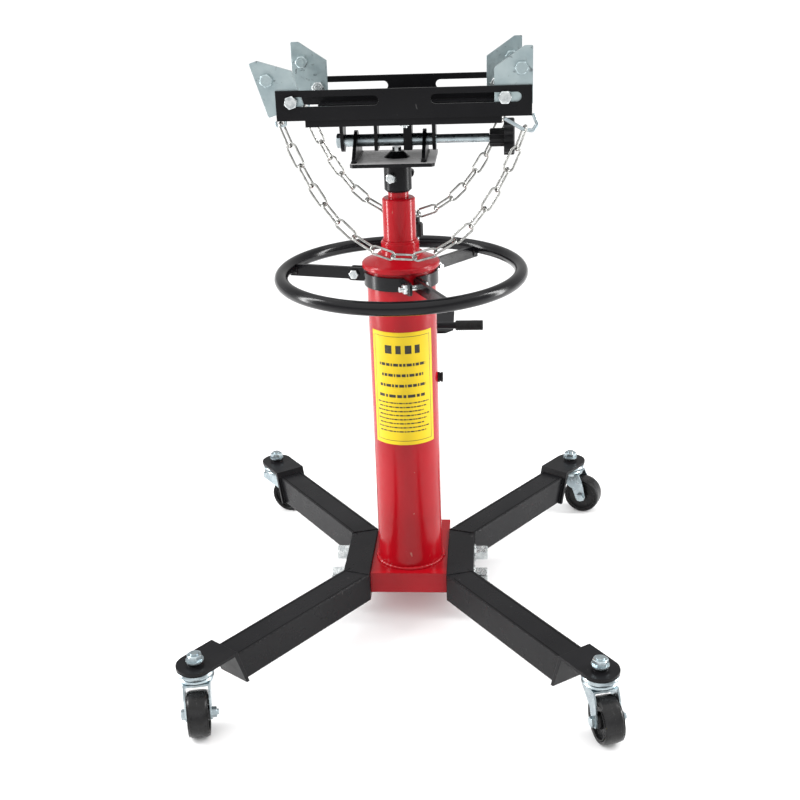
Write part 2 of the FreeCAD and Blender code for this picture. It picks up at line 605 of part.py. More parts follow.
def build_pedal():
    """Pedal arm with its side bar, the roller that works the plunger, the tread plate and the grip."""
    hinge = Vector(0, size("hinge_y"), size("hinge_z"))
    tread_y, tread_z = size("pedal_y"), size("pedal_z")
    barrel_y = size("barrel_y")
    roller_z = size("hinge_z") - size("roller_drop")
    cheek = prism([(10, hinge.y, hinge.z - 9), (10, barrel_y + 8, roller_z - 3), (10, tread_y - 12, tread_z - 22),
                   (10, tread_y + 18, tread_z - 2.5), (10, tread_y - 22, tread_z - 7.8), (10, barrel_y, hinge.z + 26),
                   (10, hinge.y, hinge.z + 9)], (4, 0, 0))
    cheek = cheek.fuse(rod(9, (10, hinge.y, hinge.z), (14, hinge.y, hinge.z))).removeSplitter()
    cheek = cheek.cut(rod(5, (0, hinge.y, hinge.z), (20, hinge.y, hinge.z)))
    arm = cheek.fuse(mirrored_x(cheek))
    lean = math.atan2(tread_z - hinge.z, tread_y - hinge.y)
    for share in (0.45, 0.85):
        y = hinge.y + share * (tread_y - hinge.y)
        z = hinge.z + share * (tread_z - hinge.z)
        web = box((-10, y - 15, z - 5), (10, y + 15, z - 1))
        web.rotate(Vector(0, y, z - 3), ALONG_X, math.degrees(lean))
        arm = arm.fuse(web)
    bar_y, bar_z = size("side_bar_y"), size("side_bar_z")
    foot_z = hinge.z + (bar_y - hinge.y) * math.tan(lean)
    bar = bent_rod(6, [(12, bar_y, foot_z), (16, bar_y, bar_z - 20), (34, bar_y, bar_z), (115, bar_y, bar_z)], 9)
    arm = arm.fuse(bar).removeSplitter()
    roller = rod(size("roller_radius"), (-9.6, barrel_y, roller_z), (9.6, barrel_y, roller_z))
    add_node("pedal_arm", [arm, roller])
    grip = tube(8.5, 6.05, (69, bar_y, bar_z), (116, bar_y, bar_z)).fuse(
        rod(8.5, (115.2, bar_y, bar_z), (117, bar_y, bar_z)))
    add_node("pedal_grip", grip)
    build_pedal_plate()


def build_pedal_plate():
    """Tread plate with its corner cut and a rib across it, leaning back on the arm."""
    plate = new_body("pedal_plate")
    corners = [("-60", "-43"), ("50", "-43"), ("64", "-31"), ("64", "43"), ("-60", "43")]
    pad(plate, "XY_Plane", corners, "4")
    place(plate, (0, size("pedal_y"), size("pedal_z")), (1, 0, 0), 7.4)


def build_release():
    """Release valve on the pump, the rod that turns it, and its knob."""
    azimuth, radius = math.radians(size("release_azimuth")), size("release_radius")
    x, y = radius * math.cos(azimuth), radius * math.sin(azimuth)
    pump_top, knob_z = size("pump_top"), size("release_knob_z")
    bore = 3.5 + size("running_gap")
    add_node("release_valve", rod(6.5, (x, y, pump_top), (x, y, pump_top + 14)).cut(
        rod(bore, (x, y, pump_top + 5), (x, y, pump_top + 15))))
    add_node("release_rod", rod(3.5, (x, y, pump_top + 6), (x, y, knob_z + 12)))
    grip = rod(8.8, (x, y, knob_z), (x, y, knob_z + 20))
    for step in range(8):
        rib = rod(1.6, (8.2, 0, knob_z + 1), (8.2, 0, knob_z + 19))
        grip = grip.fuse(turned(rib, 45 * step, (x, y, 0)))
    knob = grip.fuse(rod(5.5, (x, y, knob_z + 20), (x, y, knob_z + 28))).cut(
        rod(3.5, (x, y, knob_z - 1), (x, y, knob_z + 12)))
    add_node("release_knob", knob)


# ---------------------------------------------------------------------------------------------------------------
# Head and saddle
# ---------------------------------------------------------------------------------------------------------------


def star_knob(start, axis_end, reach):
    """Five-lobed knob on a ribbed hub: the hub starts at the first point and the lobes end at the second."""
    start, axis_end = Vector(*start), Vector(*axis_end)
    length = (axis_end - start).Length
    hub_length = length - 15
    hub_radius, lobe_radius = 0.44 * reach, 0.26 * reach
    hub = rod(hub_radius, (0, 0, 0), (0, 0, hub_length + 4))
    for step in range(12):
        rib = rod(1.3, (hub_radius - 0.2, 0, 1), (hub_radius - 0.2, 0, hub_length))
        hub = hub.fuse(turned(rib, 30 * step))
    star = rod(0.67 * reach, (0, 0, hub_length), (0, 0, length))
    for step in range(5):
        lobe = rod(lobe_radius, (reach - lobe_radius, 0, hub_length), (reach - lobe_radius, 0, length))
        arm = box((0, -lobe_radius, hub_length), (reach - lobe_radius, lobe_radius, length))
        star = star.fuse(turned(lobe.fuse(arm), 72 * step + 18))
    knob = hub.fuse(star).removeSplitter()
    rim = [edge for edge in knob.Edges if edge.BoundBox.ZMin > length - 0.01]
    knob = knob.makeChamfer(1.6, rim)
    knob = knob.cut(rod(4.05, (0, 0, -1), (0, 0, length - 4)))
    knob.Placement = Placement(start, Rotation(UP, axis_end - start))
    return knob


def build_head():
    """Socket on the ram, the cradle with its two ears, their bolts and the swivel lock knob."""
    gap = size("running_gap")
    socket = revolve("head_socket", [
        ("ram_radius + running_gap", "socket_bottom"), ("socket_radius - 3", "socket_bottom"),
        ("socket_radius", "socket_bottom + 3"), ("socket_radius", "cradle_bottom"), ("0", "cradle_bottom"),
        ("0", "ram_top + 2"), ("ram_radius + running_gap", "ram_top + 2")])
    cut_holes(socket, "XZ_Plane", [("0", "swivel_knob_z", "4 + running_gap")], "20", "-10", middle=False)
    cradle_low, cradle_top, pivot = size("cradle_bottom"), size("cradle_top"), size("pivot_z")
    depth, ear = size("cradle_half_depth"), size("head_ear_thickness")
    plate = box((size("cradle_left"), -depth, cradle_low), (size("cradle_right"), depth, cradle_top))
    upright = [edge for edge in plate.Edges if edge.BoundBox.ZLength > 4]
    cradle = plate.makeChamfer(4, upright)
    for left in (size("inner_ear_left"), size("inner_ear_right")):
        cheek = prism([(left, -50, cradle_top - 1), (left, 50, cradle_top - 1), (left, 50, cradle_top + 6),
                       (left, 12, pivot + 8), (left, -12, pivot + 8), (left, -50, cradle_top + 6)], (ear, 0, 0))
        cradle = cradle.fuse(cheek).fuse(rod(14.5, (left, 0, pivot), (left + ear, 0, pivot)))
    dome = Part.makeCone(19, 9, 8.5, Vector(0, 0, cradle_top))
    cradle = cradle.fuse(dome)
    cradle = cradle.removeSplitter().cut(rod(size("pivot_radius") + gap, (-90, 0, pivot), (90, 0, pivot)))
    add_node("cradle", cradle)
    stud = rod(6.6, (0, 0, cradle_top + 8.5), (0, 0, cradle_top + 14))
    direction = Vector(-8, -22, 0).normalize()
    outer = direction * (size("socket_radius") + 0.02) + Vector(0, 0, cradle_low - 22)
    lock = hexagon(13, outer, outer + direction * 6.5)
    add_node("head_bolts", [stud, lock])
    knob_z = size("swivel_knob_z")
    knob = star_knob((0, 24, knob_z), (0, 53, knob_z), 21.5)
    screw = rod(4, (0, size("ram_radius") + 0.4, knob_z), (0, 48, knob_z))
    add_node("swivel_knob", [knob, screw])


def build_saddle():
    """Folded saddle plate with its ears and tilt posts, the two slotted rails and their bolts."""
    left, right, depth = size("saddle_left"), size("saddle_right"), size("saddle_half_depth")
    low, top, thickness = size("saddle_bottom"), size("saddle_top"), size("saddle_thickness")
    pivot, ear = size("pivot_z"), size("head_ear_thickness")
    plate = box((left, -depth, top - thickness), (right, depth, top))
    for y in (-depth, depth - 3):
        plate = plate.fuse(box((left, y, low), (right, y + 3, top - 1)))
    under = top - thickness
    for x in (size("outer_ear_left"), size("outer_ear_right")):
        lug = prism([(x, -22, under), (x, 22, under), (x, 15.5, pivot), (x, -15.5, pivot)], (ear, 0, 0))
        plate = plate.fuse(lug).fuse(rod(15.5, (x, 0, pivot), (x + ear, 0, pivot)))
    for x_low, x_high in ((-30.5, -25.5), (11, 23)):
        plate = plate.fuse(box((x_low, -14, pivot - 13), (x_high, 14, under)))
    plate = plate.removeSplitter().cut(rod(size("pivot_radius") + 0.08, (-90, 0, pivot), (90, 0, pivot)))
    build_rails(plate)


def build_rails(plate):
    """Angle rails with two slots each, on the saddle plate, and the bolts through both."""
    left, right, outer = size("rail_left"), size("rail_right"), size("rail_outer_y")
    low, top, wall = size("saddle_top"), size("rail_top"), size("rail_thickness")
    half, slot_z = size("slot_half_height"), size("slot_z")
    web = box((left, -outer, low), (right, -outer + wall, top))
    flange = box((size("saddle_left"), -outer, low), (size("saddle_right"), -outer + size("rail_flange"), low + 3))
    rail = web.fuse(flange).removeSplitter()
    for start, end in rail_slots():
        slot = box((start + half, -outer - 1, slot_z - half), (end - half, -outer + 9, slot_z + half))
        for x in (start + half, end - half):
            slot = slot.fuse(rod(half, (x, -outer - 1, slot_z), (x, -outer + 9, slot_z)))
        rail = rail.cut(slot)
    bolt_x = (left + right) / 2
    bolt_y = -outer + size("rail_flange") / 2
    hole = rod(4.1, (bolt_x, bolt_y, low - 20), (bolt_x, bolt_y, low + 20))
    rail = rail.cut(hole)
    rails = {-1: rail, 1: mirrored_y(rail)}
    plate = plate.cut(hole).cut(mirrored_y(hole))
    under = low - size("saddle_thickness")
    bolt = rod(4, (bolt_x, bolt_y, under - 9), (bolt_x, bolt_y, low + 3)).fuse(
        hexagon(13, (bolt_x, bolt_y, low + 3), (bolt_x, bolt_y, low + 8.5))).fuse(
        hexagon(13, (bolt_x, bolt_y, under), (bolt_x, bolt_y, under - 6.5)))
    add_node("saddle_plate", plate)
    add_node("rail_front", rails[-1])
    add_node("rail_rear", rails[1])
    add_node("rail_bolts", [bolt, mirrored_y(bolt)])


def rail_slots():
    """Start and end of the two slots along a rail."""
    return [(-143, -16), (54, 175)]


def build_tilt_clamp():
    """Pivot rod through all the ears, its spacer tube and the clamp knob."""
    pivot, radius = size("pivot_z"), size("pivot_radius")
    left, shoulder = size("outer_ear_left"), size("outer_ear_right") + size("head_ear_thickness")
    gap = 0.3
    rod_shape = rod(radius, (left - gap, 0, pivot), (shoulder + gap, 0, pivot)).fuse(
        rod(4, (shoulder, 0, pivot), (162, 0, pivot))).fuse(
        hexagon(18, (left - gap, 0, pivot), (left - gap - 6.5, 0, pivot)))
    add_node("tilt_rod", rod_shape.removeSplitter())
    add_node("tilt_spacer", tube(6.3, 4.1, (shoulder + gap, 0, pivot), (131.6, 0, pivot)))
    add_node("tilt_knob", star_knob((132, 0, pivot), (167, 0, pivot), 27))


BRACKETS = {"bracket_front_left": (-134, -1, -1, 17), "bracket_front_right": (153, 1, -1, 0),
            "bracket_rear_left": (-118, -1, 1, 0), "bracket_rear_right": (142, 1, 1, 0)}


def build_brackets():
    """Four five-sided plates on the rails' inner faces, each with its slot bolt and its upper bolt."""
    outer, wall = size("rail_outer_y"), size("rail_thickness")
    face = -(outer - wall - 0.3)
    thickness, bolt_r, z = size("bracket_thickness"), size("bracket_bolt_radius"), size("slot_z")
    back = face + thickness
    for name, (x, side, row, lean) in BRACKETS.items():
        outline = [(-14, face, -10), (37, face, -10), (37, face, 65), (26, face, 65), (-14, face, 38)]
        plate = prism(outline, (0, thickness, 0))
        upright = [edge for edge in plate.Edges if edge.BoundBox.YLength > thickness - 0.1]
        plate = plate.makeFillet(1.5, upright)
        hole = rod(bolt_r + 0.2, (0, face - 9, 0), (0, back + 9, 0))
        upper_hole = rod(bolt_r + 0.2, (22, face - 9, 37), (22, back + 9, 37))
        plate = plate.cut(hole).cut(upper_hole)
        head_seat = -(outer + 0.3)
        slot_bolt = rod(bolt_r, (0, head_seat, 0), (0, back + 10, 0)).fuse(
            hexagon(16, (0, head_seat, 0), (0, head_seat - 6.4, 0))).fuse(
            hexagon(16, (0, back, 0), (0, back + 8, 0)))
        upper_bolt = rod(bolt_r, (22, face - 2, 37), (22, back + 10, 37)).fuse(
            hexagon(16, (22, face, 37), (22, face - 6.4, 37))).fuse(
            hexagon(16, (22, back, 37), (22, back + 8, 37)))
        solids = []
        for shape in (plate, upper_bolt, slot_bolt):
            shape = mirrored_x(shape) if side < 0 else shape
            shape.rotate(Vector(0, 0, 0), ALONG_Y, lean * side)
            shape = mirrored_y(shape) if row > 0 else shape
            shape.translate(Vector(x, 0, z))
            solids.append(shape)
        add_node(name, solids[:2])
        add_node(name.replace("bracket", "slot_bolt"), solids[2])


# ---------------------------------------------------------------------------------------------------------------
# Chains
# ---------------------------------------------------------------------------------------------------------------


LINK_PLAY = 0.3


def catenary(start, end, sag):
    """Point at a distance along a chain hanging between two points, and the chain's length."""
    lean = (start.z - end.z) / (2 * sag * math.sinh((start.x - end.x) / (2 * sag)))
    middle = (start.x + end.x) / 2 - sag * math.asinh(lean)
    origin = math.sinh((start.x - middle) / sag)
    length = sag * (math.sinh((end.x - middle) / sag) - origin)
    drop = start.z - sag * math.cosh((start.x - middle) / sag)

    def point(distance):
        x = middle + sag * math.asinh(distance / sag + origin)
        share = (x - start.x) / (end.x - start.x)
        return Vector(x, start.y + share * (end.y - start.y), drop + sag * math.cosh((x - middle) / sag))

    return point, length


def chain_link(length):
    """One link along +X, lying in the XY plane, its crown centrelines a given distance apart."""
    wire = size("wire")
    bend = (size("link_width") - wire) / 2
    half = length / 2 - bend
    corners = [Vector(half, -bend, 0), Vector(half + bend, 0, 0), Vector(half, bend, 0),
               Vector(-half, bend, 0), Vector(-half - bend, 0, 0), Vector(-half, -bend, 0)]
    path = Part.Wire([Part.Arc(*corners[:3]).toShape(), Part.LineSegment(corners[2], corners[3]).toShape(),
                      Part.Arc(*corners[3:]).toShape(), Part.LineSegment(corners[5], corners[0]).toShape()])
    section = Part.Wire(Part.makeCircle(wire / 2, corners[0], ALONG_X))
    return path.makePipeShell([section], True, True)


def hanging_chain(start, end, sag, count):
    """The links of a chain between two crowns, each turned a quarter turn from its neighbour."""
    point, length = catenary(Vector(*start), Vector(*end), sag)
    pitch = length / count
    link = chain_link(pitch + size("wire") + LINK_PLAY)
    links = []
    for index in range(count):
        first, last = point(index * pitch), point((index + 1) * pitch)
        middle = (first + last) / 2
        roll = 15 + 90 * (index % 2)
        aim = Rotation(ALONG_X, last - first)
        copy = link.copy()
        copy.Placement = Placement(middle, aim.multiply(Rotation(ALONG_X, roll)))
        links.append(copy)
    return links


CHAIN_STAPLES = ((-150, -1), (-141, 1), (160, 1))


def build_chains():
    """Staples under the rails' webs, the right-hand hook, and the two hanging chains."""
    middle_y = size("rail_outer_y") - size("rail_thickness") / 2
    half, wire, low, top = size("staple_half_width"), size("staple_radius"), size("staple_z"), size("saddle_top")
    fittings = []
    for x, side in CHAIN_STAPLES:
        y = side * middle_y
        corners = [(x - half, y, top), (x - half, y, low), (x + half, y, low), (x + half, y, top)]
        fittings.append(bent_rod(wire, corners, 2.2))
    hook_radius, hook_z = 2.6, size("hook_z")
    fittings.append(bent_rod(hook_radius, [(152, -81.5, hook_z + 15.5), (176, -80.5, hook_z + 1), (190, -79, hook_z - 2),
                                           (196, -77, hook_z + 6.5), (190.6, -75.7, hook_z + 20.5)], 3))
    add_node("chain_fittings", fittings)
    staple_seat = low + wire + 0.5
    hook_seat = hook_z + hook_radius + 0.7
    front_left, rear_left, rear_right = [(x, side * middle_y, staple_seat) for x, side in CHAIN_STAPLES]
    add_node("chain_front", hanging_chain(front_left, (180, -middle_y, hook_seat), 95, 17))
    add_node("chain_rear", hanging_chain(rear_left, rear_right, 88, 17))


# ---------------------------------------------------------------------------------------------------------------
# The whole jack
# ---------------------------------------------------------------------------------------------------------------


def check_document():
    """Stop if any object failed or any node has no valid shape."""
    doc.recompute()
    for item in doc.Objects:
        if {"Invalid", "Error"} & set(item.State):
            raise RuntimeError(f"{item.Name} failed to compute")
    for node in nodes:
        if node.Shape.isNull() or not node.Shape.isValid() or not node.Shape.Solids:
            raise RuntimeError(f"{node.Label} has no valid solid")


def export_nodes():
    """Write one STEP file for each node."""
    os.makedirs("parts", exist_ok=True)
    for node in nodes:
        node.Shape.exportStep(f"parts/{node.Label}.step")
        print(f"{node.Label:28s} {len(node.Shape.Solids):3d} solids {node.Shape.Volume / 1000:10.1f} cm3")


def main():
    build_base_block()
    build_pump()
    build_column_brackets()
    build_column()
    build_lift()
    build_handle()
    build_legs()
    build_pads()
    build_casters()
    build_pedal()
    build_release()
    build_head()
    build_saddle()
    build_tilt_clamp()
    build_brackets()
    build_chains()
    check_document()
    export_nodes()


main()
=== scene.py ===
import math

import bpy
from mathutils import Matrix, Vector


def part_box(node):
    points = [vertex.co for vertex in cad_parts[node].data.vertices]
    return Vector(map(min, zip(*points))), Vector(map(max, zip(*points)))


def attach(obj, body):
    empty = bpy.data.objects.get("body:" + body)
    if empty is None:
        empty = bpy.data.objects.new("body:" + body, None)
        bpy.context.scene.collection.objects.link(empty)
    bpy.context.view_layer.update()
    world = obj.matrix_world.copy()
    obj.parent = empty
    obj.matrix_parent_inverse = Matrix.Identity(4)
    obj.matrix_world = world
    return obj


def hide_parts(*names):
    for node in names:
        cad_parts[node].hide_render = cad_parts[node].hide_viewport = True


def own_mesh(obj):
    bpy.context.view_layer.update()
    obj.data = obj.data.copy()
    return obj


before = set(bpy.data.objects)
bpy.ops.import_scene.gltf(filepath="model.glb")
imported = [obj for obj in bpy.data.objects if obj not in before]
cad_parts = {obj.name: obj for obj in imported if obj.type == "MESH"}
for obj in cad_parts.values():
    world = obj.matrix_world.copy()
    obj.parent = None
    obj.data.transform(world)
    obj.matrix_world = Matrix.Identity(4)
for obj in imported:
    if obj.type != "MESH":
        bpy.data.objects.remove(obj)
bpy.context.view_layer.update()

# The looks of the transmission jack, on the CAD frame: paint, plating, plastic, welds, threads, the return
# spring and the printed label. Metres; +Z up; the label faces -Y.

CORNERS = ("front_left", "front_right", "rear_left", "rear_right")
# Directions in degrees about +Z: where each caster trails at rest, and where each handle spoke points.
WHEEL_AZIMUTHS = {"front_left": -79, "front_right": -72, "rear_left": -18, "rear_right": -22}
SPOKE_AZIMUTHS = (166, 52, -64.5)

# The legs: each arm splays from straight ahead by an angle, from an elbow on the base's middle part.
ARM_ANGLE = math.radians(36)
ARM_HALF_WIDTH = 0.021
ELBOW_Y = 0.0698

# Sizes of the return spring that its box doesn't tell.
SPRING_WIRE = 0.0013
SPRING_TURNS = 4.5


# ------------------------------------------------------------------------------------------------------------
# Materials
# ------------------------------------------------------------------------------------------------------------


class Nodes:
    """A new node material with short ways to add nodes and links."""

    def __init__(self, name):
        self.material = bpy.data.materials.new(name)
        self.material.use_nodes = True
        self.tree = self.material.node_tree
        self.shader = self.tree.nodes["Principled BSDF"]
        self.place = self.add("ShaderNodeTexCoord").outputs["Object"]

    def add(self, kind, **settings):
        node = self.tree.nodes.new(kind)
        for key, value in settings.items():
            setattr(node, key, value)
        return node

    def link(self, source, target):
        self.tree.links.new(source, target)

    def set(self, **values):
        for key, value in values.items():
            self.shader.inputs[key.replace("_", " ")].default_value = value

    def noise(self, scale, detail=3.0, stretch=(1, 1, 1), distortion=0.0):
        """Noise in the row frame, stretched along the axes."""
        mapping = self.add("ShaderNodeMapping")
        mapping.inputs["Scale"].default_value = stretch
        self.link(self.place, mapping.inputs["Vector"])
        noise = self.add("ShaderNodeTexNoise")
        noise.inputs["Scale"].default_value = scale
        noise.inputs["Detail"].default_value = detail
        noise.inputs["Distortion"].default_value = distortion
        self.link(mapping.outputs["Vector"], noise.inputs["Vector"])
        return noise.outputs["Fac"]

    def spread(self, value, low, high, out_low=0.0, out_high=1.0):
        """Map a range of one value onto another, clamped."""
        node = self.add("ShaderNodeMapRange")
        node.inputs["From Min"].default_value = low
        node.inputs["From Max"].default_value = high
        node.inputs["To Min"].default_value = out_low
        node.inputs["To Max"].default_value = out_high
        self.link(value, node.inputs["Value"])
        return node.outputs["Result"]

    def mix(self, factor, first, second):
        """A colour between two, each a colour or a socket."""
        node = self.add("ShaderNodeMix", data_type="RGBA")
        self.link(factor, node.inputs["Factor"])
        for socket, colour in zip((node.inputs[6], node.inputs[7]), (first, second)):
            if isinstance(colour, tuple):
                socket.default_value = (*colour, 1)
            else:
                self.link(colour, socket)
        return node.outputs[2]

    def relief(self, height, strength, distance, edge=0.0):
        """Bump from a height, over edges that look rounded by the edge radius."""
        bump = self.add("ShaderNodeBump")
        bump.inputs["Strength"].default_value = strength
        bump.inputs["Distance"].default_value = distance
        self.link(height, bump.inputs["Height"])
        if edge:
            bevel = self.add("ShaderNodeBevel", samples=4)
            bevel.inputs["Radius"].default_value = edge
            self.link(bevel.outputs["Normal"], bump.inputs["Normal"])
        self.link(bump.outputs["Normal"], self.shader.inputs["Normal"])


def paint(name, colour, deep, roughness, shine, edge, chips=None):
    """Sprayed enamel: orange peel, faint runs of tone, dust in the gloss, and a few chips."""
    m = Nodes(name)
    tone = m.spread(m.noise(9, 4), 0.35, 0.65)
    base = m.mix(tone, deep, colour)
    if chips:
        speck = m.spread(m.noise(75, 2, distortion=0.8), 0.745, 0.76)
        base = m.mix(speck, base, chips)
    m.link(base, m.shader.inputs["Base Color"])
    gloss = m.spread(m.noise(38, 5), 0.3, 0.7, roughness - 0.04, roughness + 0.07)
    m.link(gloss, m.shader.inputs["Roughness"])
    m.set(Specular_IOR_Level=shine, IOR=1.5)
    m.relief(m.noise(420, 2), 0.10, 0.0006, edge)
    return m.material


def plated(name, colour, tint, roughness, grain=60, stretch=(1, 1, 1), edge=0.0004, depth=0.12, stain=None):
    """Plated or bare steel: cloudy tone, fine grain and small roughness changes."""
    m = Nodes(name)
    cloud = m.spread(m.noise(grain, 5, stretch), 0.32, 0.68)
    base = m.mix(cloud, colour, tint)
    if stain:
        base = m.mix(m.spread(m.noise(115, 2, distortion=0.6), 0.64, 0.72), base, stain)
    m.link(base, m.shader.inputs["Base Color"])
    m.link(m.spread(m.noise(grain * 3, 4, stretch), 0.3, 0.7, roughness - 0.07, roughness + 0.1),
           m.shader.inputs["Roughness"])
    m.set(Metallic=1.0)
    m.relief(m.noise(grain * 12, 3, stretch), depth, 0.0004, edge)
    return m.material


def moulded(name, colour, tint, roughness, swirl, edge=0.0006, shine=0.25):
    """Moulded plastic or rubber: slight flow marks and a fine grain."""
    m = Nodes(name)
    flow = m.spread(m.noise(swirl, 6, distortion=1.6), 0.35, 0.7)
    m.link(m.mix(flow, colour, tint), m.shader.inputs["Base Color"])
    m.link(m.spread(m.noise(swirl * 2, 5, distortion=1.2), 0.3, 0.7, roughness - 0.06, roughness + 0.12),
           m.shader.inputs["Roughness"])
    m.set(Specular_IOR_Level=shine)
    m.relief(m.noise(900, 3), 0.18, 0.0003, edge)
    return m.material


def sheen_topped(material, colour):
    """The same finish, with its level faces painted a pale tone: a painted highlight for the sheen of light
    on them.
    """
    copy = material.copy()
    copy.name = material.name + "_painted_sheen_top"
    tree = copy.node_tree
    shader = tree.nodes["Principled BSDF"]
    base = shader.inputs["Base Color"].links[0].from_socket
    geometry = tree.nodes.new("ShaderNodeNewGeometry")
    split = tree.nodes.new("ShaderNodeSeparateXYZ")
    tree.links.new(geometry.outputs["True Normal"], split.inputs["Vector"])
    # Faces that point up take the pale colour: painted sheen from the light above.
    level = tree.nodes.new("ShaderNodeMath")
    level.operation = "GREATER_THAN"
    level.inputs[1].default_value = 0.9
    tree.links.new(split.outputs["Z"], level.inputs[0])
    mix = tree.nodes.new("ShaderNodeMix")
    mix.data_type = "RGBA"
    mix.inputs[7].default_value = (*colour, 1)
    tree.links.new(level.outputs["Value"], mix.inputs["Factor"])
    tree.links.new(base, mix.inputs[6])
    tree.links.new(mix.outputs[2], shader.inputs["Base Color"])
    return copy


RED = paint("red_enamel", colour=(0.36, 0.003, 0.009), deep=(0.28, 0.002, 0.006), roughness=0.18, shine=0.26,
            edge=0.0010, chips=(0.33, 0.10, 0.08))
BLACK = paint("black_enamel", colour=(0.009, 0.009, 0.010), deep=(0.005, 0.005, 0.006), roughness=0.30,
              shine=0.13, edge=0.0011, chips=(0.05, 0.05, 0.05))
LEG_BLACK = paint("leg_enamel", colour=(0.009, 0.009, 0.010), deep=(0.005, 0.005, 0.006), roughness=0.28,
                  shine=0.14, edge=0.0032, chips=(0.05, 0.05, 0.05))
GLOSS_BLACK = paint("black_gloss", colour=(0.006, 0.006, 0.007), deep=(0.003, 0.003, 0.004), roughness=0.17,
                    shine=0.24, edge=0.0006)
ZINC = plated("zinc_plate", colour=(0.48, 0.55, 0.57), tint=(0.32, 0.38, 0.41), roughness=0.30, grain=55)
ZINC_SHEET = plated("zinc_sheet", colour=(0.46, 0.54, 0.55), tint=(0.33, 0.41, 0.43), roughness=0.38,
                    grain=34, depth=0.2, stain=(0.17, 0.20, 0.21))
BOLT = plated("bolt_zinc", colour=(0.70, 0.73, 0.73), tint=(0.42, 0.45, 0.46), roughness=0.24, grain=140)
CHAIN = plated("chain_chrome", colour=(0.52, 0.52, 0.50), tint=(0.26, 0.26, 0.25), roughness=0.18, grain=110)
GROUND = plated("ground_steel", colour=(0.70, 0.70, 0.71), tint=(0.60, 0.60, 0.61), roughness=0.16, grain=40,
                stretch=(1, 1, 14))
TURNED = plated("turned_steel", colour=(0.56, 0.56, 0.57), tint=(0.45, 0.45, 0.46), roughness=0.34, grain=40,
                stretch=(1, 1, 20))
KNOB = moulded("black_moulding", colour=(0.008, 0.008, 0.009), tint=(0.015, 0.015, 0.016), roughness=0.40,
               swirl=30, shine=0.18)
WHEEL = moulded("black_nylon", colour=(0.006, 0.006, 0.006), tint=(0.020, 0.020, 0.021), roughness=0.26,
                swirl=24, shine=0.22)
GRIP = moulded("black_rubber", colour=(0.008, 0.008, 0.008), tint=(0.015, 0.015, 0.015), roughness=0.55,
               swirl=46, shine=0.15)
LABEL = moulded("label_yellow", colour=(0.68, 0.49, 0.012), tint=(0.62, 0.44, 0.010), roughness=0.36,
                swirl=12, edge=0.0)
INK = moulded("label_ink", colour=(0.022, 0.020, 0.014), tint=(0.05, 0.046, 0.03), roughness=0.40, swirl=200,
              edge=0.0)
# Near-black flat finish for painted shade lines on the arms' rounded top edges.
CORNER_SHADE = moulded("seam_shadow", colour=(0.002, 0.002, 0.002), tint=(0.004, 0.004, 0.004), roughness=0.70,
               swirl=60, edge=0.0, shine=0.05)
FLOOR = moulded("studio_floor", colour=(0.93, 0.93, 0.93), tint=(0.91, 0.91, 0.915), roughness=0.60, swirl=3,
                edge=0.0)
# The cradle, its level top painted pale as a painted highlight.
CRADLE = sheen_topped(BLACK, (0.55, 0.54, 0.54))

FINISHES = {
    RED: ["base_block", "pump_body", "reservoir_tube", "column_cap", "column_wiper", "stage_tube",
          "column_brackets", "ram"],
    BLACK: ["caster_pads", "pump_barrel", "saddle_plate", "rail_front", "rail_rear", "head_socket",
            "pedal_arm", "pedal_plate"],
    LEG_BLACK: ["leg_right", "leg_left"],
    CRADLE: ["cradle"],
    GLOSS_BLACK: ["handle_ring", "clamp_band", "handle_spokes"],
    ZINC: ["tilt_rod", "tilt_spacer", "chain_fittings", "release_rod", "plunger_spring", "caster_kingpins"]
          + [f"caster_fork_{corner}" for corner in CORNERS],
    ZINC_SHEET: [f"bracket_{corner}" for corner in CORNERS],
    BOLT: ["handle_bolts", "leg_bolts", "rail_bolts", "head_bolts", "pedal_pin"]
          + [f"slot_bolt_{corner}" for corner in CORNERS],
    CHAIN: ["chain_front", "chain_rear"],
    GROUND: ["plunger"],
    TURNED: ["pressure_cylinder", "release_valve"],
    KNOB: ["swivel_knob", "tilt_knob", "release_knob", "filler_plug"],
    WHEEL: [f"caster_wheel_{corner}" for corner in CORNERS],
    GRIP: ["pedal_grip"],
    LABEL: ["label"],
}


def finish_nodes():
    """Give every CAD node its material."""
    for material, names in FINISHES.items():
        for name in names:
            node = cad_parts[name]
            node.data.materials.clear()
            node.data.materials.append(material)


# ------------------------------------------------------------------------------------------------------------
# Mesh helpers
# ------------------------------------------------------------------------------------------------------------


def piece(name, vertices, faces, material, body, smooth=True):
    """A mesh object that rides on a body, with the given material."""
    mesh = bpy.data.meshes.new(name)
    mesh.from_pydata([tuple(v) for v in vertices], [], faces)
    mesh.materials.append(material)
    mesh.update()
    mesh.polygons.foreach_set("use_smooth", [smooth] * len(mesh.polygons))
    thing = bpy.data.objects.new(name, mesh)
    bpy.context.scene.collection.objects.link(thing)
    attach(thing, body)
    return thing


def arc(centre, radius, start, end, step=4.0):
    """Points on a level arc, angles in degrees."""
    count = max(2, int(abs(end - start) / step) + 1)
    x, y, z = centre
    angles = [math.radians(start + (end - start) * k / (count - 1)) for k in range(count)]
    return [Vector((x + radius * math.cos(a), y + radius * math.sin(a), z)) for a in angles]


def sample(points, step):
    """Points a given distance apart along a broken line, with the distance run at each."""
    out = []
    run = 0.0
    for first, last in zip(points, points[1:]):
        first, last = Vector(first), Vector(last)
        length = (last - first).length
        count = max(1, round(length / step))
        for k in range(count):
            out.append((first.lerp(last, k / count), run + length * k / count))
        run += length
    out.append((Vector(points[-1]), run))
    return out


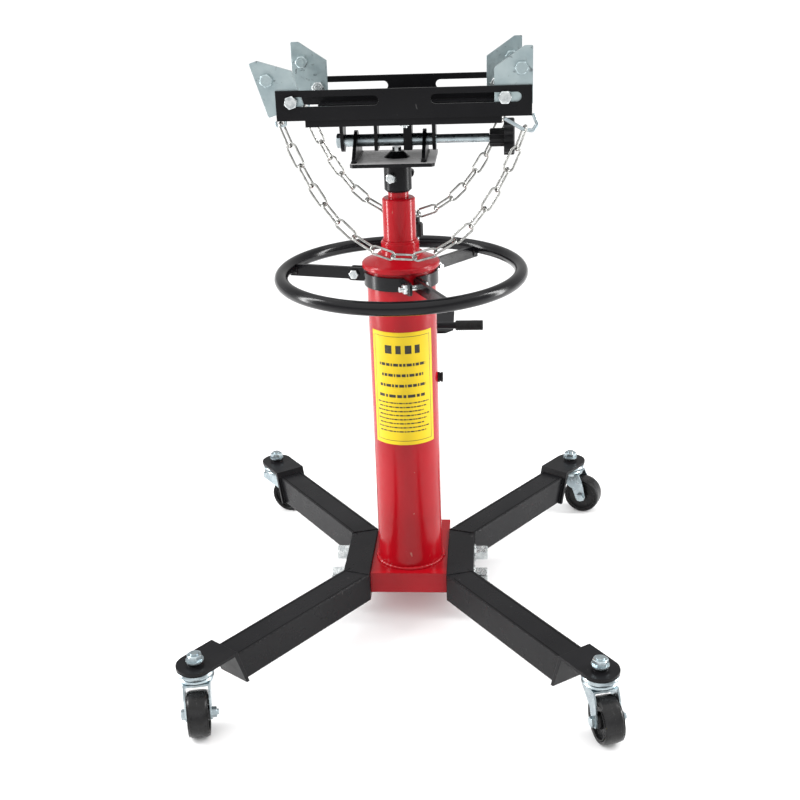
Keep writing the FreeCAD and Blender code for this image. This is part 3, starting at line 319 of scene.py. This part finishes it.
def bead_mesh(paths, radius, sides=8):
    """Vertices and faces of weld beads: overlapping ripples along each path."""
    vertices, faces = [], []
    for number, path in enumerate(paths):
        line = sample(path, radius * 0.4)
        start = len(vertices)
        for index, (point, run) in enumerate(line):
            before = line[max(index - 1, 0)][0]
            after = line[min(index + 1, len(line) - 1)][0]
            ahead = (after - before).normalized()
            side = ahead.cross(Vector((0, 0, 1)))
            side = side.normalized() if side.length > 0.1 else Vector((1, 0, 0))
            top = side.cross(ahead)
            end_fade = min(1.0, 0.35 + min(run, line[-1][1] - run) / (radius * 1.5))
            ripple = 0.82 + 0.18 * abs(math.sin(run / radius * 1.45 + number))
            wander = 1 + 0.14 * math.sin(run / radius * 0.31 + 2.1 * number)
            size = radius * end_fade * ripple * wander
            for k in range(sides):
                angle = math.tau * k / sides
                vertices.append(point + size * (side * math.cos(angle) + top * math.sin(angle)))
        for ring in range(len(line) - 1):
            for k in range(sides):
                a, b = start + ring * sides + k, start + ring * sides + (k + 1) % sides
                faces.append((a, b, b + sides, a + sides))
        faces.append(tuple(start + k for k in reversed(range(sides))))
        faces.append(tuple(start + (len(line) - 1) * sides + k for k in range(sides)))
    return vertices, faces


def weld(name, paths, radius, material, body):
    """Painted weld beads on one body."""
    vertices, faces = bead_mesh(paths, radius)
    return piece(name, vertices, faces, material, body)


def strip_mesh(radius, azimuth, bars):
    """Thin curved bars on the column: each is (left, right, bottom, top), left and right along the arc."""
    vertices, faces = [], []
    for left, right, bottom, top in bars:
        count = max(2, int(abs(right - left) / 0.003) + 1)
        start = len(vertices)
        for k in range(count + 1):
            angle = azimuth + (left + (right - left) * k / count) / radius
            x, y = radius * math.cos(angle), radius * math.sin(angle)
            vertices += [(x, y, bottom), (x, y, top)]
        for k in range(count):
            a = start + 2 * k
            faces.append((a, a + 2, a + 3, a + 1))
    return vertices, faces


# ------------------------------------------------------------------------------------------------------------
# Printed label: border, heading blocks and lines that stand for text
# ------------------------------------------------------------------------------------------------------------


def print_label():
    """A generic pattern of bars inside a thin border, with no lettering."""
    low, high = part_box("label")
    film = 0.00006
    radius = -low.y + film
    azimuth = math.radians(-89.5)
    half, margin, line = 0.0462, 0.006, 0.0008
    bottom, top = low.z + margin, high.z - margin
    bars = [(-half, half, top - line, top), (-half, half, bottom, bottom + line),
            (-half, -half + line, bottom, top), (half - line, half, bottom, top)]
    cursor = top - 0.014
    block_height = 0.013
    for left, width in ((-0.026, 0.013), (-0.009, 0.010), (0.005, 0.012), (0.020, 0.010)):
        bars.append((left, left + width - 0.002, cursor - block_height, cursor))
    cursor -= 0.028
    for reach in (0.037, 0.033, 0.037):
        bars += dashes(-reach, reach, cursor - 0.0045, cursor, word=0.0052)
        cursor -= 0.0165
    bars += dashes(-0.039, 0.036, cursor - 0.0048, cursor, word=0.0075)
    cursor -= 0.0125
    fine_lines, fine_pitch, fine_height = 8, 0.0066, 0.0021
    for number in range(fine_lines):
        left = -0.043 if number % 2 == 0 else -0.040
        right = 0.042 - 0.005 * (number % 3)
        bars += dashes(left, right, cursor - fine_height, cursor, word=0.0036 + 0.0007 * (number % 2))
        cursor -= fine_pitch
    vertices, faces = strip_mesh(radius, azimuth, bars)
    piece("label_print", vertices, faces, INK, "base")


def dashes(left, right, bottom, top, word):
    """A line broken into short blocks."""
    out = []
    start, index = left, 0
    while start < right:
        length = word * (1 + 0.55 * math.sin(2.3 * index + 40 * top))
        out.append((start, min(start + length, right), bottom, top))
        start += length + word * 0.28
        index += 1
    return out


# ------------------------------------------------------------------------------------------------------------
# Return spring
# ------------------------------------------------------------------------------------------------------------


def add_spring():
    """The plunger's return spring, a swept wire coil."""
    low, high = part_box("plunger_spring")
    middle = (low + high) / 2
    wire, per_turn, sides = SPRING_WIRE, 40, 12
    radius = (high.x - low.x) / 2 - wire
    rise = high.z - low.z - 2 * wire
    count = int(SPRING_TURNS * per_turn)
    vertices, faces = [], []
    for index in range(count + 1):
        angle = math.tau * index / per_turn
        outward = Vector((math.cos(angle), math.sin(angle), 0))
        centre = Vector((middle.x, middle.y, low.z + wire + rise * index / count)) + radius * outward
        for k in range(sides):
            turn = math.tau * k / sides
            vertices.append(centre + wire * (math.cos(turn) * outward + Vector((0, 0, math.sin(turn)))))
    for ring in range(count):
        for k in range(sides):
            a, b = ring * sides + k, ring * sides + (k + 1) % sides
            faces.append((a, a + sides, b + sides, b))
    faces.append(tuple(range(sides)))
    faces.append(tuple(count * sides + k for k in reversed(range(sides))))
    spring = piece("return_spring", vertices, faces, ZINC, "base")
    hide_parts("plunger_spring")
    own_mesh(spring)


# ------------------------------------------------------------------------------------------------------------
# Welds
# ------------------------------------------------------------------------------------------------------------


def add_welds():
    """Beads where the jack's plates and tubes join."""
    column_welds()
    pump_welds()
    spoke_welds()
    leg_welds()
    # Painted shade lines along the arms' top edges, not beads.
    leg_corner_shade()
    head_welds()


def column_welds():
    """Beads round the column's foot and the cap's collar."""
    column_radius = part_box("reservoir_tube")[1].x
    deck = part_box("base_block")[1].z
    centre, radius = (0, 0, deck + 0.001), column_radius + 0.0012
    arcs = [arc(centre, radius, start, end) for start, end in ((-168, -12), (-12, 20), (160, 192))]
    weld("column_foot_weld", arcs, 0.0036, RED, "base")
    cap_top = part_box("column_cap")[1].z
    collar_drop, collar_radius = 0.0190, 0.0312
    circle = arc((0, 0, cap_top - collar_drop), collar_radius, 0, 360)
    weld("collar_weld", [circle], 0.0024, RED, "base")


def pump_welds():
    """Beads along both sides of the pump body, on the block."""
    low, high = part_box("pump_body")
    near, far, level = low.y + 0.004, high.y - 0.002, low.z + 0.0008
    paths = [[(x, near, level), (x, far, level)] for x in (high.x + 0.0006, low.x - 0.0006)]
    weld("pump_weld", paths, 0.0022, RED, "base")


def spoke_welds():
    """Two upright beads where each spoke meets the handle ring."""
    low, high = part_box("handle_ring")
    middle = (low.z + high.z) / 2
    reach = high.x - 0.0205
    tilt, half_thickness = 0.0022, 0.0034
    paths = []
    for azimuth in SPOKE_AZIMUTHS:
        a = math.radians(azimuth)
        along = Vector((math.cos(a), math.sin(a), 0))
        across = Vector((-math.sin(a), math.cos(a), 0))
        level = middle + tilt * along.y
        for side in (-1, 1):
            foot = along * reach + across * side * half_thickness
            paths.append([foot + Vector((0, 0, level - 0.0125)), foot + Vector((0, 0, level - 0.0005))])
    weld("spoke_welds", paths, 0.0019, GLOSS_BLACK, "base")


def arm_axes(side, row):
    """The level directions along and across one arm; side and row are -1 or 1."""
    forward = Vector((side * math.sin(ARM_ANGLE), row * math.cos(ARM_ANGLE), 0))
    across = Vector((-side * math.cos(ARM_ANGLE), row * math.sin(ARM_ANGLE), 0))
    return forward, across


def leg_welds():
    """Beads on the mitres of the legs and round their bent end plates."""
    low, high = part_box("leg_right")
    top = high.z + 0.0001
    inner, half = low.x, ARM_HALF_WIDTH
    step = half * math.tan(ARM_ANGLE / 2)
    mitre_height = 0.044
    seams = []
    for side in (-1, 1):
        for row in (-1, 1):
            near = Vector((side * inner, row * (ELBOW_Y + step), top))
            far = Vector((side * (inner + 2 * half), row * (ELBOW_Y - step), top))
            proud = far + Vector((side * 0.0002, 0, 0))
            seams.append([near, far])
            seams.append([proud, proud + Vector((0, 0, -mitre_height))])
    weld("mitre_welds", seams, 0.0012, BLACK, "base")
    pin_reach, seat_back, foot_back = 0.3316, 0.0548, 0.0700
    paths = []
    for side in (-1, 1):
        for row in (-1, 1):
            forward, across = arm_axes(side, row)
            pin = Vector((side * (inner + half), row * ELBOW_Y, 0)) + forward * pin_reach
            seat = pin - forward * seat_back + Vector((0, 0, top + 0.0006))
            foot = pin - forward * foot_back + Vector((0, 0, low.z + 0.001))
            paths.append([seat + across * half, seat - across * half])
            for edge in (-1, 1):
                out = across * edge * (half + 0.0008)
                paths.append([seat + out - forward * 0.001, foot + out])
    weld("pad_welds", paths, 0.0017, BLACK, "base")


def leg_corner_shade():
    """Painted shade: dark hairlines along both top edges of each arm, where the box section's rounded corners
    begin to turn away from the light.
    """
    low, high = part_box("leg_right")
    top = high.z + 0.00008
    half, inset, width, length = ARM_HALF_WIDTH, 0.0040, 0.0005, 0.272
    vertices, faces = [], []
    for side in (-1, 1):
        for row in (-1, 1):
            forward, across = arm_axes(side, row)
            elbow = Vector((side * (low.x + half), row * ELBOW_Y, top))
            for edge in (-1, 1):
                offset = edge * (half - inset)
                start = elbow + across * offset + forward * (offset * math.tan(ARM_ANGLE / 2) + 0.002)
                end = elbow + across * offset + forward * length
                number = len(vertices)
                strip = across * width
                vertices += [start - strip, end - strip, end + strip, start + strip]
                order = (number, number + 1, number + 2, number + 3)
                first, second, fourth = vertices[number], vertices[number + 1], vertices[number + 3]
                up = (second - first).cross(fourth - first).z
                faces.append(order if up > 0 else tuple(reversed(order)))
    piece("arm_corner_shade", vertices, faces, CORNER_SHADE, "base", smooth=False)


def head_welds():
    """Beads at the ears of the cradle, round the socket and under the saddle plate."""
    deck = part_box("cradle")[0].z + 0.005
    half, level = 0.048, deck + 0.0005
    paths = [[(x, -half, level), (x, half, level)] for x in (-0.0598, -0.0542, 0.0377, 0.0433)]
    weld("cradle_welds", paths, 0.0017, BLACK, "head")
    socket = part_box("head_socket")[1]
    weld("socket_weld", [arc((0, 0, socket.z - 0.0004), socket.x + 0.0006, 0, 360)], 0.0019, BLACK,
         "head")
    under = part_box("saddle_plate")[1].z - 0.005
    half, level = 0.021, under - 0.0005
    paths = [[(x, -half, level), (x, half, level)] for x in (-0.0788, -0.0732, 0.0512, 0.0568)]
    weld("lug_welds", paths, 0.0016, BLACK, "saddle")


# ------------------------------------------------------------------------------------------------------------
# Small rings: threads, grip ribs and moulding lines
# ------------------------------------------------------------------------------------------------------------


def hoop_mesh(hoops, sides=6, steps=28):
    """Vertices and faces of thin rings: each is (centre, axis, radius, wire)."""
    vertices, faces = [], []
    for centre, axis, radius, wire in hoops:
        axis = Vector(axis).normalized()
        first = axis.orthogonal().normalized()
        second = axis.cross(first)
        start = len(vertices)
        for step in range(steps):
            turn = math.tau * step / steps
            outward = first * math.cos(turn) + second * math.sin(turn)
            for side in range(sides):
                tilt = math.tau * side / sides
                rim = outward * (radius + wire * math.cos(tilt))
                vertices.append(Vector(centre) + rim + axis * wire * math.sin(tilt))
        for step in range(steps):
            for side in range(sides):
                a, b = step * sides + side, step * sides + (side + 1) % sides
                c, d = (b + sides) % (steps * sides), (a + sides) % (steps * sides)
                faces.append((start + a, start + b, start + c, start + d))
    return vertices, faces


def thread(start, direction, radius, length, pitch):
    """Rings that stand for a screw thread along a bolt's end."""
    direction = Vector(direction).normalized()
    count = max(1, int(length / pitch))
    centres = [Vector(start) + direction * pitch * (k + 0.6) for k in range(count)]
    return [(centre, direction, radius, pitch * 0.32) for centre in centres]


def add_hoops(name, hoops, material, body):
    """Rings as one piece on a body."""
    vertices, faces = hoop_mesh(hoops)
    piece(name, vertices, faces, material, body)


def add_rings():
    """Threads on the slot bolts, ribs on the pedal grip and the moulding line round each wheel."""
    for corner in CORNERS:
        low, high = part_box(f"slot_bolt_{corner}")
        middle = (low + high) / 2
        inward = 1 if middle.y < 0 else -1
        tip = high.y if inward > 0 else low.y
        start = (middle.x, tip - inward * 0.0022, middle.z)
        rings = thread(start, (0, inward, 0), radius=0.0049, length=0.0020, pitch=0.0009)
        add_hoops(f"slot_thread_{corner}", rings, BOLT, f"slide_{corner}")
    low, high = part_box("pedal_grip")
    middle = (low + high) / 2
    first, pitch, count = low.x + 0.003, 0.0038, 12
    ribs = [((first + pitch * k, middle.y, middle.z), (1, 0, 0), 0.0086, 0.0009) for k in range(count)]
    add_hoops("grip_ribs", ribs, GRIP, "pedal")
    for corner in CORNERS:
        low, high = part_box(f"caster_wheel_{corner}")
        centre = (low + high) / 2
        azimuth = math.radians(WHEEL_AZIMUTHS[corner])
        axle = Vector((-math.sin(azimuth), math.cos(azimuth), 0))
        radius = (high.z - low.z) / 2
        lines = [(centre, axle, radius - 0.0003, 0.0006)]
        for side in (-1, 1):
            lines.append((centre + axle * side * 0.0135, axle, radius - 0.0065, 0.0007))
            lines.append((centre + axle * side * 0.0158, axle, 0.0080, 0.0006))
        add_hoops(f"wheel_lines_{corner}", lines, WHEEL, f"wheel_{corner}")


# ------------------------------------------------------------------------------------------------------------
# Stage, lights and camera
# ------------------------------------------------------------------------------------------------------------


def add_floor():
    """A wide pale floor."""
    half = 45.0
    vertices = [(-half, -half, 0), (half, -half, 0), (half, half, 0), (-half, half, 0)]
    mesh = bpy.data.meshes.new("studio_floor")
    mesh.from_pydata(vertices, [], [(0, 1, 2, 3)])
    mesh.materials.append(FLOOR)
    floor = bpy.data.objects.new("studio_floor", mesh)
    bpy.context.scene.collection.objects.link(floor)


def add_light(name, position, target, width, height, power):
    """A soft rectangular light aimed at a point."""
    data = bpy.data.lights.new(name, "AREA")
    data.shape = "RECTANGLE"
    data.size = width
    data.size_y = height
    data.energy = power
    light = bpy.data.objects.new(name, data)
    light.location = position
    light.rotation_euler = (Vector(target) - Vector(position)).to_track_quat("-Z", "Y").to_euler()
    bpy.context.scene.collection.objects.link(light)


def light_scene():
    """White surroundings, a broad soft light above and a tall strip on each side."""
    world = bpy.data.worlds.new("studio")
    bpy.context.scene.world = world
    world.use_nodes = True
    background = world.node_tree.nodes["Background"]
    background.inputs["Color"].default_value = (1, 1, 1, 1)
    background.inputs["Strength"].default_value = 0.60
    middle = (0, 0, 0.45)
    add_light("left_strip", (-1.9, -0.1, 0.9), middle, 0.28, 2.4, 58)
    add_light("right_strip", (2.0, 0.25, 0.9), middle, 0.28, 2.4, 58)
    sky = bpy.data.lights.new("sky", "SUN")
    sky.energy = 2.0
    sky.angle = math.radians(110)
    dome = bpy.data.objects.new("sky", sky)
    dome.rotation_euler = (math.radians(14), math.radians(-6), 0)
    bpy.context.scene.collection.objects.link(dome)


def add_camera():
    """The camera at the photograph's angle, slightly right of the front and above the saddle."""
    position = (0.1384, -1.7197, 1.0288)
    right = Vector((0.9968, 0.0717, -0.0344))
    up = Vector((0.0057, 0.3674, 0.9301))
    back = -Vector((-0.0793, 0.9273, -0.3658))
    data = bpy.data.cameras.new("camera")
    data.sensor_width = 36.0
    data.lens = 54.14
    data.clip_start = 0.05
    data.clip_end = 90.0
    camera = bpy.data.objects.new("camera", data)
    turn = Matrix((right, up, back)).transposed().to_4x4()
    camera.matrix_world = Matrix.Translation(position) @ turn
    bpy.context.scene.collection.objects.link(camera)
    bpy.context.scene.camera = camera


finish_nodes()
print_label()
add_spring()
add_welds()
add_rings()
add_floor()
light_scene()
add_camera()
bpy.context.scene.view_settings.view_transform = "Standard"
